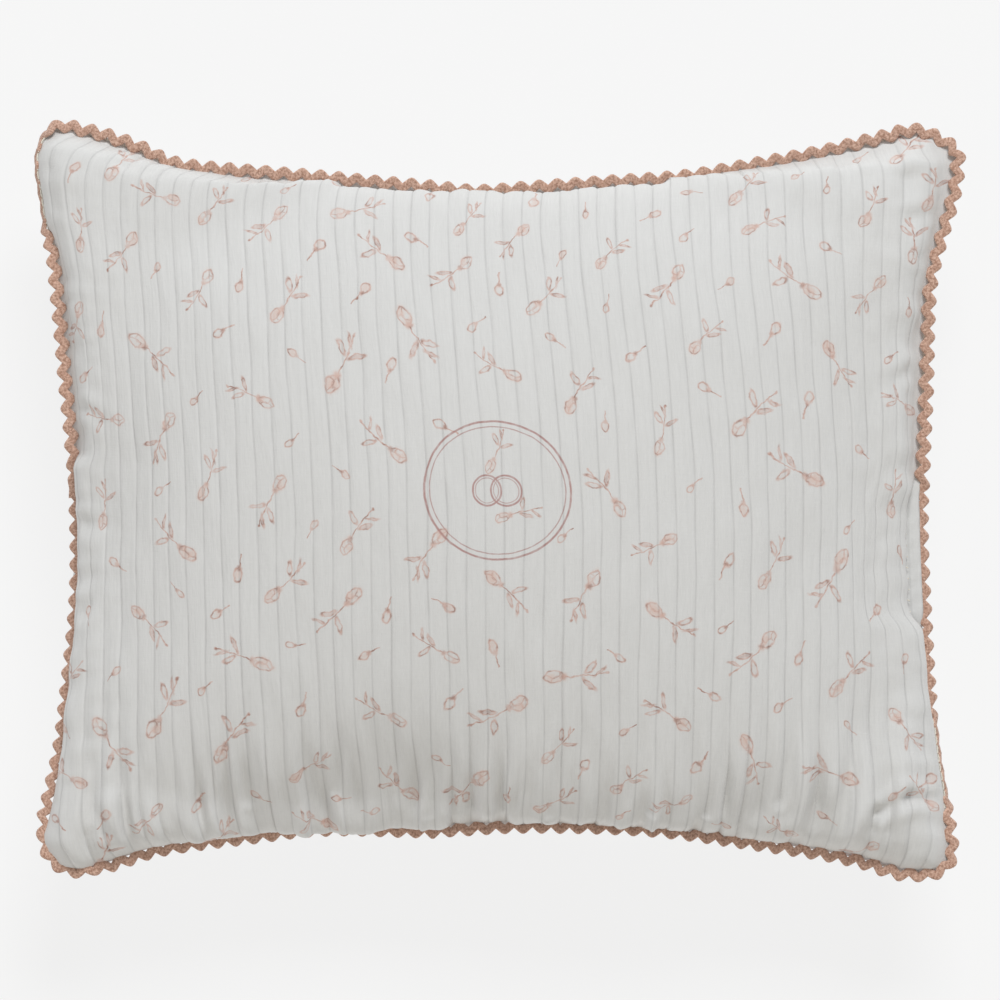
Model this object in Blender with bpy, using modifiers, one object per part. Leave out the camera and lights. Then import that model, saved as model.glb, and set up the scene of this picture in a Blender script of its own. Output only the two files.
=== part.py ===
"""A stuffed ring bearer pillow with a ric-rac edge, lying on its back with its face up.

Metres, +Z up. X runs along the long side and Y along the short side. The origin is the middle of the
flat patch that the pillow rests on. The cover is two panels that meet at a seam all round, with the
ric-rac caught between them. Inside it lies a sewn inner case that holds the fibre fill.
"""

import math
from dataclasses import dataclass, replace

import bmesh
import bpy
import numpy as np

# Cover, seam to seam at the corners
COVER_LENGTH = 0.2485
COVER_WIDTH = 0.2037
FRONT_CROWN = 0.0395
BACK_CROWN = 0.0375
REST_FLATTENING = 0.0050

# How far the filled edges pull in at the middle, and how the corners round off
SIDE_WAIST = 0.0095
TOP_WAIST = 0.0165
BOTTOM_WAIST = 0.0125
CORNER_PULL = 0.0029
CORNER_POWER = 12
DOME_POWER = 0.6
ROLL_POWER = 20

# Cloth
COVER_CLOTH = 0.0008
COVER_ALLOWANCE = 0.0080
COVER_ROLL = 0.0040
CASE_CLOTH = 0.0005
CASE_ALLOWANCE = 0.0050
CASE_ROLL = 0.0030
LAYER_CLEARANCE = 0.0005
TOUCH_GAP = 0.0003

# Ric-rac
TRIM_PITCH = 0.0050
TRIM_BAND = 0.0027
TRIM_THICKNESS = 0.0009
TRIM_CAUGHT = 0.0008
TRIM_JOIN_Y = 0.0040

# Threads and the hand-closed gap on the right side
SEAM_THREAD = 0.0005
CASE_THREAD = 0.0004
GAP_TOP_Y = 0.0076
GAP_BOTTOM_Y = -0.0340
LADDER_STITCH = 0.0030
LADDER_WIDTH = 0.0020
THREAD_SPACING = 0.0040
CASE_THREAD_INSET = 0.0012

# Mesh resolution
COVER_CELLS = (20, 16)
CASE_CELLS = (14, 12)
OUTLINE_STEPS = 240
SEAM_POINTS = 84
CASE_POINTS = 60

COLLECTION = "ring_bearer_pillow"


@dataclass(frozen=True)
class Layer:
    """One closed skin of the pillow: its half sizes at the seam, its crowns, and the gap at its seam."""

    half_length: float
    half_width: float
    front: float
    back: float
    rest: float
    roll: float
    seam_gap: float

    def inset(self, at_seam, at_crown, roll, seam_gap):
        """The layer that lies inside this one, further in at the seam and lower at the crown."""
        return replace(
            self,
            half_length=self.half_length - at_seam,
            half_width=self.half_width - at_seam,
            front=self.front + self.roll - roll - at_crown,
            back=self.back + self.roll - roll - at_crown,
            rest=self.rest - at_crown,
            roll=roll,
            seam_gap=seam_gap,
        )

    def plan(self, u, v):
        """Where (u, v) of the flat cut lies in plan: the edges pull in between rounded corners."""
        end_waist = TOP_WAIST if v > 0 else BOTTOM_WAIST
        x = u * (self.half_length - SIDE_WAIST * (1 - v * v))
        y = v * (self.half_width - end_waist * (1 - u * u))
        pull = CORNER_PULL * abs(u * v) ** CORNER_POWER
        return x - math.copysign(pull, u), y - math.copysign(pull, v)

    def height(self, u, v, side):
        """How far the skin stands off the seam plane: a crown over a small roll at the edge."""
        crown = self.front if side > 0 else self.back
        dome = max(0.0, (1 - u * u) * (1 - v * v)) ** DOME_POWER
        roll = max(0.0, (1 - u**ROLL_POWER) * (1 - v**ROLL_POWER)) ** 0.5
        rise = crown * dome + self.roll * roll
        return rise if side > 0 else min(rise, self.rest)


def cover_layer():
    return Layer(
        half_length=COVER_LENGTH / 2,
        half_width=COVER_WIDTH / 2,
        front=FRONT_CROWN,
        back=BACK_CROWN,
        rest=BACK_CROWN + COVER_ROLL - REST_FLATTENING,
        roll=COVER_ROLL,
        seam_gap=TRIM_THICKNESS + 2 * TOUCH_GAP,
    )


def case_layer():
    at_seam = COVER_ALLOWANCE + LAYER_CLEARANCE
    seam_gap = CASE_THREAD + 2 * TOUCH_GAP
    return cover_layer().inset(at_seam, COVER_CLOTH + LAYER_CLEARANCE, CASE_ROLL, seam_gap)


def fill_layer():
    at_seam = CASE_ALLOWANCE + LAYER_CLEARANCE
    return case_layer().inset(at_seam, CASE_CLOTH + LAYER_CLEARANCE, CASE_ROLL, case_layer().seam_gap)


def seam_height():
    """Height of the seam plane over the patch that the pillow rests on."""
    cover = cover_layer()
    return cover.rest + cover.seam_gap / 2


def clear_scene():
    for thing in list(bpy.data.objects):
        bpy.data.objects.remove(thing, do_unlink=True)


def new_collection():
    group = bpy.data.collections.new(COLLECTION)
    bpy.context.scene.collection.children.link(group)
    return group


def material(name, colour, roughness):
    made = bpy.data.materials.new(name)
    made.use_nodes = True
    shader = made.node_tree.nodes["Principled BSDF"]
    shader.inputs["Base Color"].default_value = (*colour, 1.0)
    shader.inputs["Roughness"].default_value = roughness
    shader.inputs["Metallic"].default_value = 0.0
    return made


def place(group, name, data, cloth):
    """Adds the shape as a named piece, lifted so that the seam plane is at its height."""
    piece = bpy.data.objects.new(name, data)
    piece.location.z = seam_height()
    data.materials.append(cloth)
    group.objects.link(piece)
    return piece


def close_spaced(share):
    """Spreads evenly spaced values so that they lie closer together towards -1 and 1."""
    return math.sin(share * math.pi / 2)


def grid(cells):
    """A square grid on -1 to 1, its lines closer together at the edges."""
    made = bmesh.new()
    bmesh.ops.create_grid(made, x_segments=cells[0], y_segments=cells[1], size=1)
    for vert in made.verts:
        vert.co.x = close_spaced(vert.co.x)
        vert.co.y = close_spaced(vert.co.y)
    return made


def shape_side(verts, layer, side):
    for vert in verts:
        u, v = vert.co.x, vert.co.y
        vert.co.z = side * (layer.seam_gap / 2 + layer.height(u, v, side))
        vert.co.x, vert.co.y = layer.plan(u, v)


def add_allowance(made, layer, width):
    """Turns the panel's edge in at the seam, as the seam allowance of a bagged-out cover lies."""
    edges = [edge for edge in made.edges if edge.is_boundary]
    turned = bmesh.ops.extrude_edge_only(made, edges=edges)["geom"]
    verts = [item for item in turned if isinstance(item, bmesh.types.BMVert)]
    shares = (1 - width / layer.half_length, 1 - width / layer.half_width, 1)
    bmesh.ops.scale(made, vec=shares, verts=verts)


def finish_mesh(made, name):
    mesh = bpy.data.meshes.new(name)
    made.to_mesh(mesh)
    made.free()
    mesh.shade_smooth()
    return mesh


def panel(group, name, layer, side, cells, allowance, cloth_thickness, cloth):
    """One cloth panel: a domed shell whose edge is turned in at the seam."""
    made = grid(cells)
    shape_side(made.verts, layer, side)
    add_allowance(made, layer, allowance)
    if side < 0:
        bmesh.ops.reverse_faces(made, faces=made.faces)
    piece = place(group, name, finish_mesh(made, name), cloth)
    shell = piece.modifiers.new("cloth", "SOLIDIFY")
    shell.thickness = cloth_thickness
    shell.offset = -1
    return piece


def fill(group, name, layer, cells, stuffing):
    """The stuffing: one closed body, domed on both sides."""
    made = grid(cells)
    back = list(made.verts)
    lifted = bmesh.ops.extrude_face_region(made, geom=list(made.faces))["geom"]
    front = [item for item in lifted if isinstance(item, bmesh.types.BMVert)]
    shape_side(front, layer, 1)
    shape_side(back, layer, -1)
    bmesh.ops.recalc_face_normals(made, faces=made.faces)
    return place(group, name, finish_mesh(made, name), stuffing)


def outline(layer):
    """Points round the layer's seam, anticlockwise from its lower left corner."""
    run = np.linspace(-1, 1, OUTLINE_STEPS, endpoint=False)
    bottom = [(t, -1) for t in run]
    right = [(1, t) for t in run]
    top = [(-t, 1) for t in run]
    left = [(-1, -t) for t in run]
    return np.array([layer.plan(u, v) for u, v in bottom + right + top + left])


def started_at(points, x_side, y):
    """The same loop, started where it passes height y on the left (-1) or right (1) side."""
    on_side = np.sign(points[:, 0]) == x_side
    near_edge = np.abs(points[:, 0]) > np.abs(points[:, 0]).max() - 2 * SIDE_WAIST
    distance = np.where(on_side & near_edge, np.abs(points[:, 1] - y), np.inf)
    return np.roll(points, -int(distance.argmin()), axis=0)


class Seam:
    """A closed seam line that can be read at any distance along it and any distance outwards."""

    def __init__(self, points):
        closed = np.vstack([points, points[:1]])
        steps = np.linalg.norm(np.diff(closed, axis=0), axis=1)
        self.points = closed
        self.along = np.concatenate([[0], np.cumsum(steps)])
        self.length = self.along[-1]

    def at(self, distance, outwards=0.0):
        """The point that far along the seam, moved outwards from the pillow."""
        here = self._read(distance)
        ahead = self._read(distance + TRIM_PITCH / 4) - self._read(distance - TRIM_PITCH / 4)
        ahead /= np.linalg.norm(ahead)
        return here + outwards * np.array([ahead[1], -ahead[0]])

    def _read(self, distance):
        wrapped = distance % self.length
        x = np.interp(wrapped, self.along, self.points[:, 0])
        y = np.interp(wrapped, self.along, self.points[:, 1])
        return np.array([x, y])


def poly_spline(curve, points, cyclic):
    spline = curve.splines.new("POLY")
    spline.points.add(len(points) - 1)
    for target, (x, y) in zip(spline.points, points):
        target.co = (x, y, 0, 1)
    spline.use_cyclic_u = cyclic


def ricrac(group, cover, cloth):
    """One flat zigzag strip round the seam, its inner points caught in it and its ends meeting."""
    seam = Seam(started_at(outline(cover), -1, TRIM_JOIN_Y))
    waves = round(seam.length / TRIM_PITCH)
    middle = TRIM_BAND - TRIM_CAUGHT
    stations = np.linspace(0, seam.length - TOUCH_GAP, 2 * waves)
    outer = []
    inner = []
    for number, distance in enumerate(stations):
        peak = TRIM_BAND if number % 2 == 0 else 0
        outer.append(seam.at(distance, middle + peak))
        inner.append(seam.at(distance, middle + peak - TRIM_BAND))
    curve = bpy.data.curves.new("ricrac_trim", "CURVE")
    curve.dimensions = "2D"
    curve.fill_mode = "BOTH"
    curve.extrude = TRIM_THICKNESS / 2
    poly_spline(curve, outer + inner[::-1], True)
    return place(group, "ricrac_trim", curve, cloth)


def thread(group, name, points, diameter, cyclic, cotton):
    """A sewing thread along a run of points in the seam plane."""
    curve = bpy.data.curves.new(name, "CURVE")
    curve.dimensions = "3D"
    curve.bevel_depth = diameter / 2
    curve.bevel_resolution = 1
    curve.use_fill_caps = not cyclic
    poly_spline(curve, points, cyclic)
    return place(group, name, curve, cotton)


def cover_threads(group, cover, cotton):
    """The machine stitching round the seam, and the ladder stitch that shuts the gap it leaves."""
    seam = Seam(started_at(outline(cover), 1, GAP_BOTTOM_Y))
    gap = GAP_TOP_Y - GAP_BOTTOM_Y
    near_row = -(TRIM_CAUGHT + TOUCH_GAP + SEAM_THREAD)
    far_row = near_row - LADDER_WIDTH
    stops = np.linspace(gap + THREAD_SPACING, seam.length - THREAD_SPACING, SEAM_POINTS)
    stitching = [seam.at(distance, near_row) for distance in stops]
    thread(group, "seam_thread", stitching, SEAM_THREAD, False, cotton)
    stitches = np.linspace(0, gap, 2 * round(gap / LADDER_STITCH))
    rows = [near_row, near_row, far_row, far_row]
    ladder = [seam.at(distance, rows[number % 4]) for number, distance in enumerate(stitches)]
    thread(group, "closing_thread", ladder, SEAM_THREAD, False, cotton)


def case_thread(group, case, cotton):
    seam = Seam(outline(case))
    stops = np.linspace(0, seam.length, CASE_POINTS, endpoint=False)
    loop = [seam.at(distance, -CASE_THREAD_INSET) for distance in stops]
    thread(group, "inner_seam_thread", loop, CASE_THREAD, True, cotton)


def build():
    clear_scene()
    group = new_collection()
    muslin = material("printed_muslin", (0.80, 0.79, 0.77), 0.9)
    braid = material("dusty_pink_braid", (0.55, 0.32, 0.23), 0.85)
    cotton = material("cream_thread", (0.78, 0.75, 0.70), 0.6)
    calico = material("case_calico", (0.82, 0.81, 0.78), 0.9)
    stuffing = material("white_fibre", (0.88, 0.88, 0.87), 0.95)
    cover, case = cover_layer(), case_layer()
    panel(group, "front_panel", cover, 1, COVER_CELLS, COVER_ALLOWANCE, COVER_CLOTH, muslin)
    panel(group, "back_panel", cover, -1, COVER_CELLS, COVER_ALLOWANCE, COVER_CLOTH, muslin)
    ricrac(group, cover, braid)
    cover_threads(group, cover, cotton)
    panel(group, "inner_case_front", case, 1, CASE_CELLS, CASE_ALLOWANCE, CASE_CLOTH, calico)
    panel(group, "inner_case_back", case, -1, CASE_CELLS, CASE_ALLOWANCE, CASE_CLOTH, calico)
    case_thread(group, case, cotton)
    fill(group, "fibre_fill", fill_layer(), CASE_CELLS, stuffing)


build()
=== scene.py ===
import math

import bpy
import numpy as np
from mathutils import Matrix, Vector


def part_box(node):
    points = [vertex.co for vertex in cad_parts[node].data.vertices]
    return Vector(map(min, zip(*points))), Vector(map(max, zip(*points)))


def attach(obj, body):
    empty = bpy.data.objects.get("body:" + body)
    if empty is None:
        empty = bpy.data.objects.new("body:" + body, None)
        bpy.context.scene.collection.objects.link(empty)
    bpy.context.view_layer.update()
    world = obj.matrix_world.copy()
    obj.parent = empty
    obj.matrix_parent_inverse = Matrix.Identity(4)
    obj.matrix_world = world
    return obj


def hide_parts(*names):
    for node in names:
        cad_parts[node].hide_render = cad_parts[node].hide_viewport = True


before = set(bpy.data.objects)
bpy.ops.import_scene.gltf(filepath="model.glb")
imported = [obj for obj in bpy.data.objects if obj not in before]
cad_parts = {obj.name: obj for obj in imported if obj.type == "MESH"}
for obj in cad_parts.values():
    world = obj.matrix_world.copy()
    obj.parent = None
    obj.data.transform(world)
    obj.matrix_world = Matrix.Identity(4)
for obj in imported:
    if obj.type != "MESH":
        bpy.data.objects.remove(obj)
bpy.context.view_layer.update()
scene = bpy.context.scene
MM = 0.001

# --- the frame's own sizes
trim_low, trim_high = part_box("ricrac_trim")
SEAM_Z = (trim_low.z + trim_high.z) / 2
REST_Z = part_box("back_panel")[0].z

# --- camera
CAMERA_ABOVE_SEAM = 1.6
camera_data = bpy.data.cameras.new("camera")
camera_data.sensor_width = 36
camera_data.lens = 213.3
camera = bpy.data.objects.new("camera", camera_data)
camera.location = (0, 0, SEAM_Z + CAMERA_ABOVE_SEAM)
scene.collection.objects.link(camera)
scene.camera = camera

# --- the cover's cut and the seam's path
CUT_LENGTH = 0.2485
CUT_WIDTH = 0.2037
TRIM_REACH = 3.8 * MM

# Outer edge of the trim seen from above, in mm, clockwise from the top left corner.
EDGE_TOP = [(-118.3, 103.7), (-104.5, 100.2), (-94.5, 96.7), (-85, 92.8), (-58, 90.6), (-18.9, 87.2),
    (-6.8, 86.1), (5.4, 86.9), (27, 88.6), (48, 90), (63.7, 92.6), (82.9, 96.1), (102.3, 100.2),
    (112.9, 102.6)]
EDGE_RIGHT = [(124.5, 96.9), (126.4, 90.5), (124.5, 80.2), (120.4, 65.6), (118.3, 54.5), (117.2, 25.9),
    (116.1, 0), (116.6, -20), (118.3, -51), (119.2, -65), (121.5, -79.4), (124.3, -90), (124.2, -98.5)]
EDGE_BOTTOM = [(117.5, -103.7), (106.9, -103.0), (96, -99.5), (75.9, -95.9), (43.2, -92.1), (8.6, -90.7),
    (-20.8, -91.6), (-47.3, -91.5), (-66.4, -93.4), (-90, -96.4), (-102.3, -100.0), (-113, -103.1)]
EDGE_LEFT = [(-122.3, -99.9), (-126.2, -90.7), (-124.2, -80), (-121, -65), (-119.1, -48.3), (-116.9, -25),
    (-116.9, 0), (-118, 16), (-119.9, 33.8), (-122.6, 62.6), (-124.8, 80), (-126.4, 91.5), (-124, 99.5)]

# How far the seam has rolled towards the front (+) or the back (-) at places along each side, in mm.
ROLL_TOP = [(-119, 0), (-98, 2), (-80, 3), (-58, 3.5), (-20, 4), (20, 4.5), (60, 4.5), (88, 3.5), (112, 0)]
ROLL_RIGHT = [(97, 0), (84, 2), (66, 3), (45, 1), (20, 1), (5, 0), (-20, -1.5), (-55, -1.5), (-70, -1),
    (-98, 0)]
ROLL_BOTTOM = [(-113, 0), (-95, -1.5), (-66, -2), (-45, -3.5), (-32, -2), (-15, 1), (10, 3.5), (45, 4),
    (58, 1), (75, -2), (95, -1), (117, 0)]
ROLL_LEFT = [(-100, 0), (-84, -1), (-60, -1), (-30, -2), (0, -1.5), (22, 1.5), (60, 2), (78, -0.5),
    (99, -1)]

# Stretches of the edge, in mm: from, to, and how strongly. Where the whole trim shows on top of the cloth,
# where the front bulges over it, where it is turned down so that only its edge shows, and the corners.
SHOWN = [(-116, 101, -62, 91, 1), (-62, 91, 20, 87, 0.95), (20, 87, 112, 102, 0.95), (-34, 87, 36, 87, 2.1),
    (126, 90, 118, 50, 0.9), (118, 50, 116, 14, 1), (-6, -91, 52, -92, 1), (64, -94, 112, -103, 0.7),
    (-118, 19, -122, 70, 1), (124, -88, 124, -96, 0.5), (-92, -96, -118, -103, 0.35)]
HIDDEN = [(-47, -91, -41, -91, 1)]
TURNED = [(-126, 93, -124, 80, 1), (120, -65, 121, -75, 1)]
CORNERS = [(-121, 100, -124, 97, 1), (120, 100, 123, 97, 1), (121, -101, 123, -98, 1),
    (-118, -102, -122, -99, 1)]


def touched(points, stretches, reach=6.0, fade=6.0):
    """How strongly each point, in mm, is on one of the stretches."""
    out = np.zeros(points.shape[:-1])
    for x0, y0, x1, y1, strength in stretches:
        along = np.array([x1 - x0, y1 - y0], float)
        away = points - np.array([x0, y0], float)
        t = np.clip(away @ along / (along @ along), 0, 1)
        gap = np.linalg.norm(away - t[..., None] * along, axis=-1)
        share = np.clip((reach + fade - gap) / fade, 0, 1)
        out = np.maximum(out, strength * share * share * (3 - 2 * share))
    return out


def loop_curve(points, per_span=40):
    """A smooth closed curve through the points."""
    p0, p1, p2, p3 = (np.roll(points, k, axis=0)[:, None] for k in (1, 0, -1, -2))
    t = np.linspace(0, 1, per_span, endpoint=False)[None, :, None]
    curve = p1 + 0.5 * t * (p2 - p0 + t * (2 * p0 - 5 * p1 + 4 * p2 - p3 + t * (3 * p1 - p0 - 3 * p2 + p3)))
    return curve.reshape(-1, points.shape[1])


def inset(points, distance):
    """A clockwise closed curve moved inwards."""
    along = np.roll(points, -1, axis=0) - np.roll(points, 1, axis=0)
    along /= np.linalg.norm(along, axis=1)[:, None]
    return points + distance * np.stack([along[:, 1], -along[:, 0]], axis=1)


def even_points(points, count):
    """count + 1 points spaced evenly along an open line."""
    step = np.linalg.norm(np.diff(points, axis=0), axis=1)
    run = np.concatenate([[0], np.cumsum(step)])
    want = np.linspace(0, run[-1], count + 1)
    return np.stack([np.interp(want, run, points[:, k]) for k in range(points.shape[1])], axis=1)


def profile(table, at):
    """A smoothed reading of (position, value) pairs."""
    where = np.array([a for a, _ in table], float)
    value = np.array([b for _, b in table], float)
    order = np.argsort(where)
    fine = np.linspace(where.min(), where.max(), 400)
    rough = np.interp(fine, where[order], value[order])
    kernel = np.hanning(41) / np.hanning(41).sum()
    smooth = np.convolve(np.pad(rough, 20, mode="edge"), kernel, mode="valid")
    return np.interp(at, fine, smooth)


def turned_down(points):
    return touched(points, TURNED, 3, 11)


def trim_reach(points):
    """The trim's reach out from the seam, in metres, at points in mm: less where it lies on the cloth."""
    on_top = np.minimum(1, 1.7 * touched(points, SHOWN))
    return TRIM_REACH - MM * np.maximum(1.06 * touched(points, CORNERS, 8), on_top)


outline = loop_curve(np.array(EDGE_TOP + EDGE_RIGHT + EDGE_BOTTOM + EDGE_LEFT) * MM)
turned = turned_down(outline / MM)
TURNED_REACH = 1.3 * MM
seam_line = inset(outline, (trim_reach(outline / MM) * (1 - turned) + TURNED_REACH * turned)[:, None])
corner_at = [int(np.argmin(np.hypot(seam_line[:, 0] - x * MM, seam_line[:, 1] - y * MM)))
             for x, y in ((-117, 97), (118, 97), (117, -98), (-117, -97))]


def seam_side(first, last, count):
    """The seam from one corner to the next, as evenly spaced points."""
    size = len(seam_line)
    span = (last - first) % size
    return even_points(seam_line[(first + np.arange(span + 1)) % size], count)


def seam_sides(columns, rows):
    """The seam's sides with their roll heights: two from left to right, then two upwards."""
    top = seam_side(corner_at[0], corner_at[1], columns)
    right = seam_side(corner_at[1], corner_at[2], rows)[::-1]
    bottom = seam_side(corner_at[2], corner_at[3], columns)[::-1]
    left = seam_side(corner_at[3], corner_at[0], rows)
    tables = ((bottom, ROLL_BOTTOM, 0), (top, ROLL_TOP, 0), (left, ROLL_LEFT, 1), (right, ROLL_RIGHT, 1))
    return [np.column_stack([line, profile(table, line[:, axis] / MM) * MM]) for line, table, axis in tables]


def patch(sides):
    """A surface filled in between four sides."""
    bottom, top, left, right = sides
    u = np.linspace(0, 1, len(bottom))[:, None, None]
    v = np.linspace(0, 1, len(left))[None, :, None]
    rails = (1 - v) * bottom[:, None] + v * top[:, None] + (1 - u) * left[None] + u * right[None]
    corners = ((1 - u) * (1 - v) * bottom[0] + u * (1 - v) * bottom[-1]
               + (1 - u) * v * top[0] + u * v * top[-1])
    return rails - corners


def quads(index):
    """The faces between neighbours in a grid of point numbers."""
    return np.stack([index[:-1, :-1], index[1:, :-1], index[1:, 1:], index[:-1, 1:]], axis=-1).reshape(-1, 4)


def welded(shape):
    """Two grids that share their rim: the point numbers of each, the mask of inner points, and the faces."""
    upper = np.arange(shape[0] * shape[1]).reshape(shape)
    inner = np.zeros(shape, bool)
    inner[1:-1, 1:-1] = True
    lower = upper.copy()
    lower[inner] = upper.size + np.arange(inner.sum())
    return upper, lower, inner, np.concatenate([quads(upper), quads(lower)[:, ::-1]])


# --- the stuffed cover, as cloth
SIM_COLUMNS = 72
SIM_ROWS = 59
SIM_FRAMES = 48
SIM_DRAWN_BY = 16
SIM_SCALE = 10.0
CLOTH = {"vertex_group_mass": "sewn", "quality": 8, "mass": 0.3, "tension_stiffness": 200,
         "compression_stiffness": 200, "shear_stiffness": 10, "bending_stiffness": 0.2, "tension_damping": 5,
         "compression_damping": 5, "shear_damping": 5, "bending_damping": 0.5, "air_damping": 1,
         "use_pressure": True, "uniform_pressure_force": 20}


def stuffed_cover():
    """Two flat panels sewn round the edge, drawn to the seam's shape and blown up. Gives the front and the
    back grid, in metres about the seam plane."""
    u = np.linspace(-1, 1, SIM_COLUMNS + 1)[:, None]
    v = np.linspace(-1, 1, SIM_ROWS + 1)[None, :]
    dome = np.clip((1 - u ** 2) * (1 - v ** 2), 0, None) ** 0.6
    target = patch(seam_sides(SIM_COLUMNS, SIM_ROWS))
    flat = np.stack(np.broadcast_arrays(u * CUT_LENGTH / 2, v * CUT_WIDTH / 2, 0 * dome), axis=-1)
    upper, lower, inner, faces = welded(dome.shape)

    def both(surface, height):
        up = np.zeros_like(surface)
        up[..., 2] = height * dome
        return np.concatenate([(surface + up).reshape(-1, 3), (surface - up)[inner]])

    mesh = bpy.data.meshes.new("cover_cloth")
    mesh.from_pydata((both(flat, 4 * MM) * SIM_SCALE).tolist(), [], faces.tolist())
    cover = bpy.data.objects.new("cover_cloth", mesh)
    scene.collection.objects.link(cover)
    cover.shape_key_add(name="cut")
    drawn = cover.shape_key_add(name="drawn")
    drawn.data.foreach_set("co", (both(target, 40 * MM) * SIM_SCALE).astype(np.float32).ravel())
    for value, at in ((0, 1), (1, SIM_DRAWN_BY)):
        drawn.value = value
        drawn.keyframe_insert("value", frame=at)
    sewn = cover.vertex_groups.new(name="sewn")
    sewn.add([int(i) for i in upper[~inner]], 1.0, "REPLACE")
    cloth = cover.modifiers.new("cloth", "CLOTH")
    for key, value in CLOTH.items():
        setattr(cloth.settings, key, value)
    cloth.settings.effector_weights.gravity = 0
    cloth.collision_settings.use_collision = False
    cloth.point_cache.frame_start = 1
    cloth.point_cache.frame_end = SIM_FRAMES + 5
    for at in range(1, SIM_FRAMES + 1):
        scene.frame_set(at)
    shown = cover.evaluated_get(bpy.context.evaluated_depsgraph_get()).to_mesh()
    points = np.empty(len(shown.vertices) * 3, np.float32)
    shown.vertices.foreach_get("co", points)
    points = points.reshape(-1, 3).astype(float) / SIM_SCALE
    bpy.data.objects.remove(cover)
    bpy.data.meshes.remove(mesh)
    scene.frame_set(1)
    return points[upper], points[lower]


def settle(grid):
    """The cover at rest on a flat surface: pressed flat where it would lie lower, and a little round that."""
    deep = SEAM_Z - REST_Z
    soft = 12 * MM
    depth = -grid[..., 2]
    over = np.clip((depth - (deep - soft)) / (2 * soft), 0, 1)
    pressed = np.where(depth > deep - soft, deep - soft + soft * (1 - (1 - over) ** 2), depth)
    out = grid.copy()
    out[..., 2] = SEAM_Z - pressed
    return out


EASE_PASSES = 14


def eased(grid):
    """The buckles that the cloth makes in its corners, where stuffing fills the real ones, smoothed away."""
    columns, rows = grid.shape[:2]
    i, j = np.arange(columns)[:, None], np.arange(rows)[None, :]
    side = np.minimum(i, columns - 1 - i) * CUT_LENGTH / (columns - 1) / MM
    end = np.minimum(j, rows - 1 - j) * CUT_WIDTH / (rows - 1) / MM
    share = np.exp(-np.hypot(side, end) / 22) + 0.5 * np.exp(-np.minimum(side + 0 * end, end + 0 * side) / 10)
    share = np.clip(share, 0, 0.9)[1:-1, 1:-1, None]
    out = grid.copy()
    for _ in range(EASE_PASSES):
        around = (out[2:, 1:-1] + out[:-2, 1:-1] + out[1:-1, 2:] + out[1:-1, :-2]) / 4
        out[1:-1, 1:-1] += 0.6 * share * (around - out[1:-1, 1:-1])
    return out


front_coarse, back_coarse = (settle(eased(g)) for g in stuffed_cover())


# --- smooth fine grids from coarse ones
def spline_weights(count, at):
    """Weights that read a smooth curve through count evenly spaced values, at positions from 0 to 1."""
    spot = np.clip(np.asarray(at, float), 0, 1) * (count - 1)
    base = np.minimum(spot.astype(int), count - 2)
    t = spot - base
    parts = [(-t + 2 * t ** 2 - t ** 3) / 2, (2 - 5 * t ** 2 + 3 * t ** 3) / 2,
             (t + 4 * t ** 2 - 3 * t ** 3) / 2, (t ** 3 - t ** 2) / 2]
    weights = np.zeros((len(spot), count))
    line = np.arange(len(spot))
    for shift, part in zip((-1, 0, 1, 2), parts):
        index = base + shift
        low, high = index < 0, index > count - 1
        inside = ~(low | high)
        np.add.at(weights, (line[inside], index[inside]), part[inside])
        # Past an end the curve runs straight on.
        for past, end, before in ((low, 0, 1), (high, count - 1, count - 2)):
            np.add.at(weights, (line[past], end), 2 * part[past])
            np.add.at(weights, (line[past], before), -part[past])
    return weights


def read_grid(grid, u, v):
    """The grid read smoothly at the positions u by v, each from 0 to 1."""
    rows = np.tensordot(spline_weights(grid.shape[0], u), grid, axes=(1, 0))
    return np.moveaxis(np.tensordot(spline_weights(grid.shape[1], v), rows, axes=(1, 1)), 0, 1)


def unit(vectors):
    return vectors / np.maximum(np.linalg.norm(vectors, axis=-1, keepdims=True), 1e-12)


def outward(grid, sign):
    """Unit normals of a grid, up for the front and down for the back."""
    return sign * unit(np.cross(np.gradient(grid, axis=0), np.gradient(grid, axis=1)))


def soft_noise(u, v, cells_u, cells_v, seed):
    """Smooth random values from about -1 to 1, with that many cells each way."""
    rough = np.random.RandomState(seed).uniform(-1, 1, (cells_u + 1, cells_v + 1, 1))
    return read_grid(rough, u, v)[..., 0]


def smooth_step(low, high, x):
    t = np.clip((x - low) / (high - low), 0, 1)
    return t * t * (3 - 2 * t)


# --- tucks
TUCK_PITCH = 5.08 * MM
TUCK_START = 2.1 * MM
# Columns of a tuck, as shares of the pitch from its stitched line: close together where it folds.
TUCK_COLUMNS = (0.0, 0.055, 0.12, 0.24, 0.40, 0.60, 0.76, 0.88, 0.945)
ROW_STEP = 1.25 * MM


def cloth_positions():
    """The flat columns and rows, in metres, that the panels are built on."""
    half = CUT_LENGTH / 2
    first = math.ceil((-half - TUCK_START) / TUCK_PITCH) - 1
    last = math.floor((half - TUCK_START) / TUCK_PITCH) + 1
    across = [TUCK_START + TUCK_PITCH * (n + share) for n in range(first, last) for share in TUCK_COLUMNS]
    across = [x for x in across if -half + 0.3 * MM < x < half - 0.3 * MM]
    across = np.array([-half] + across + [half])
    count = int(round(CUT_WIDTH / ROW_STEP))
    t = np.linspace(-1, 1, count + 1)
    down = CUT_WIDTH / 2 * (0.86 * t + 0.14 * np.sin(t * math.pi / 2))
    return across, down


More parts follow.
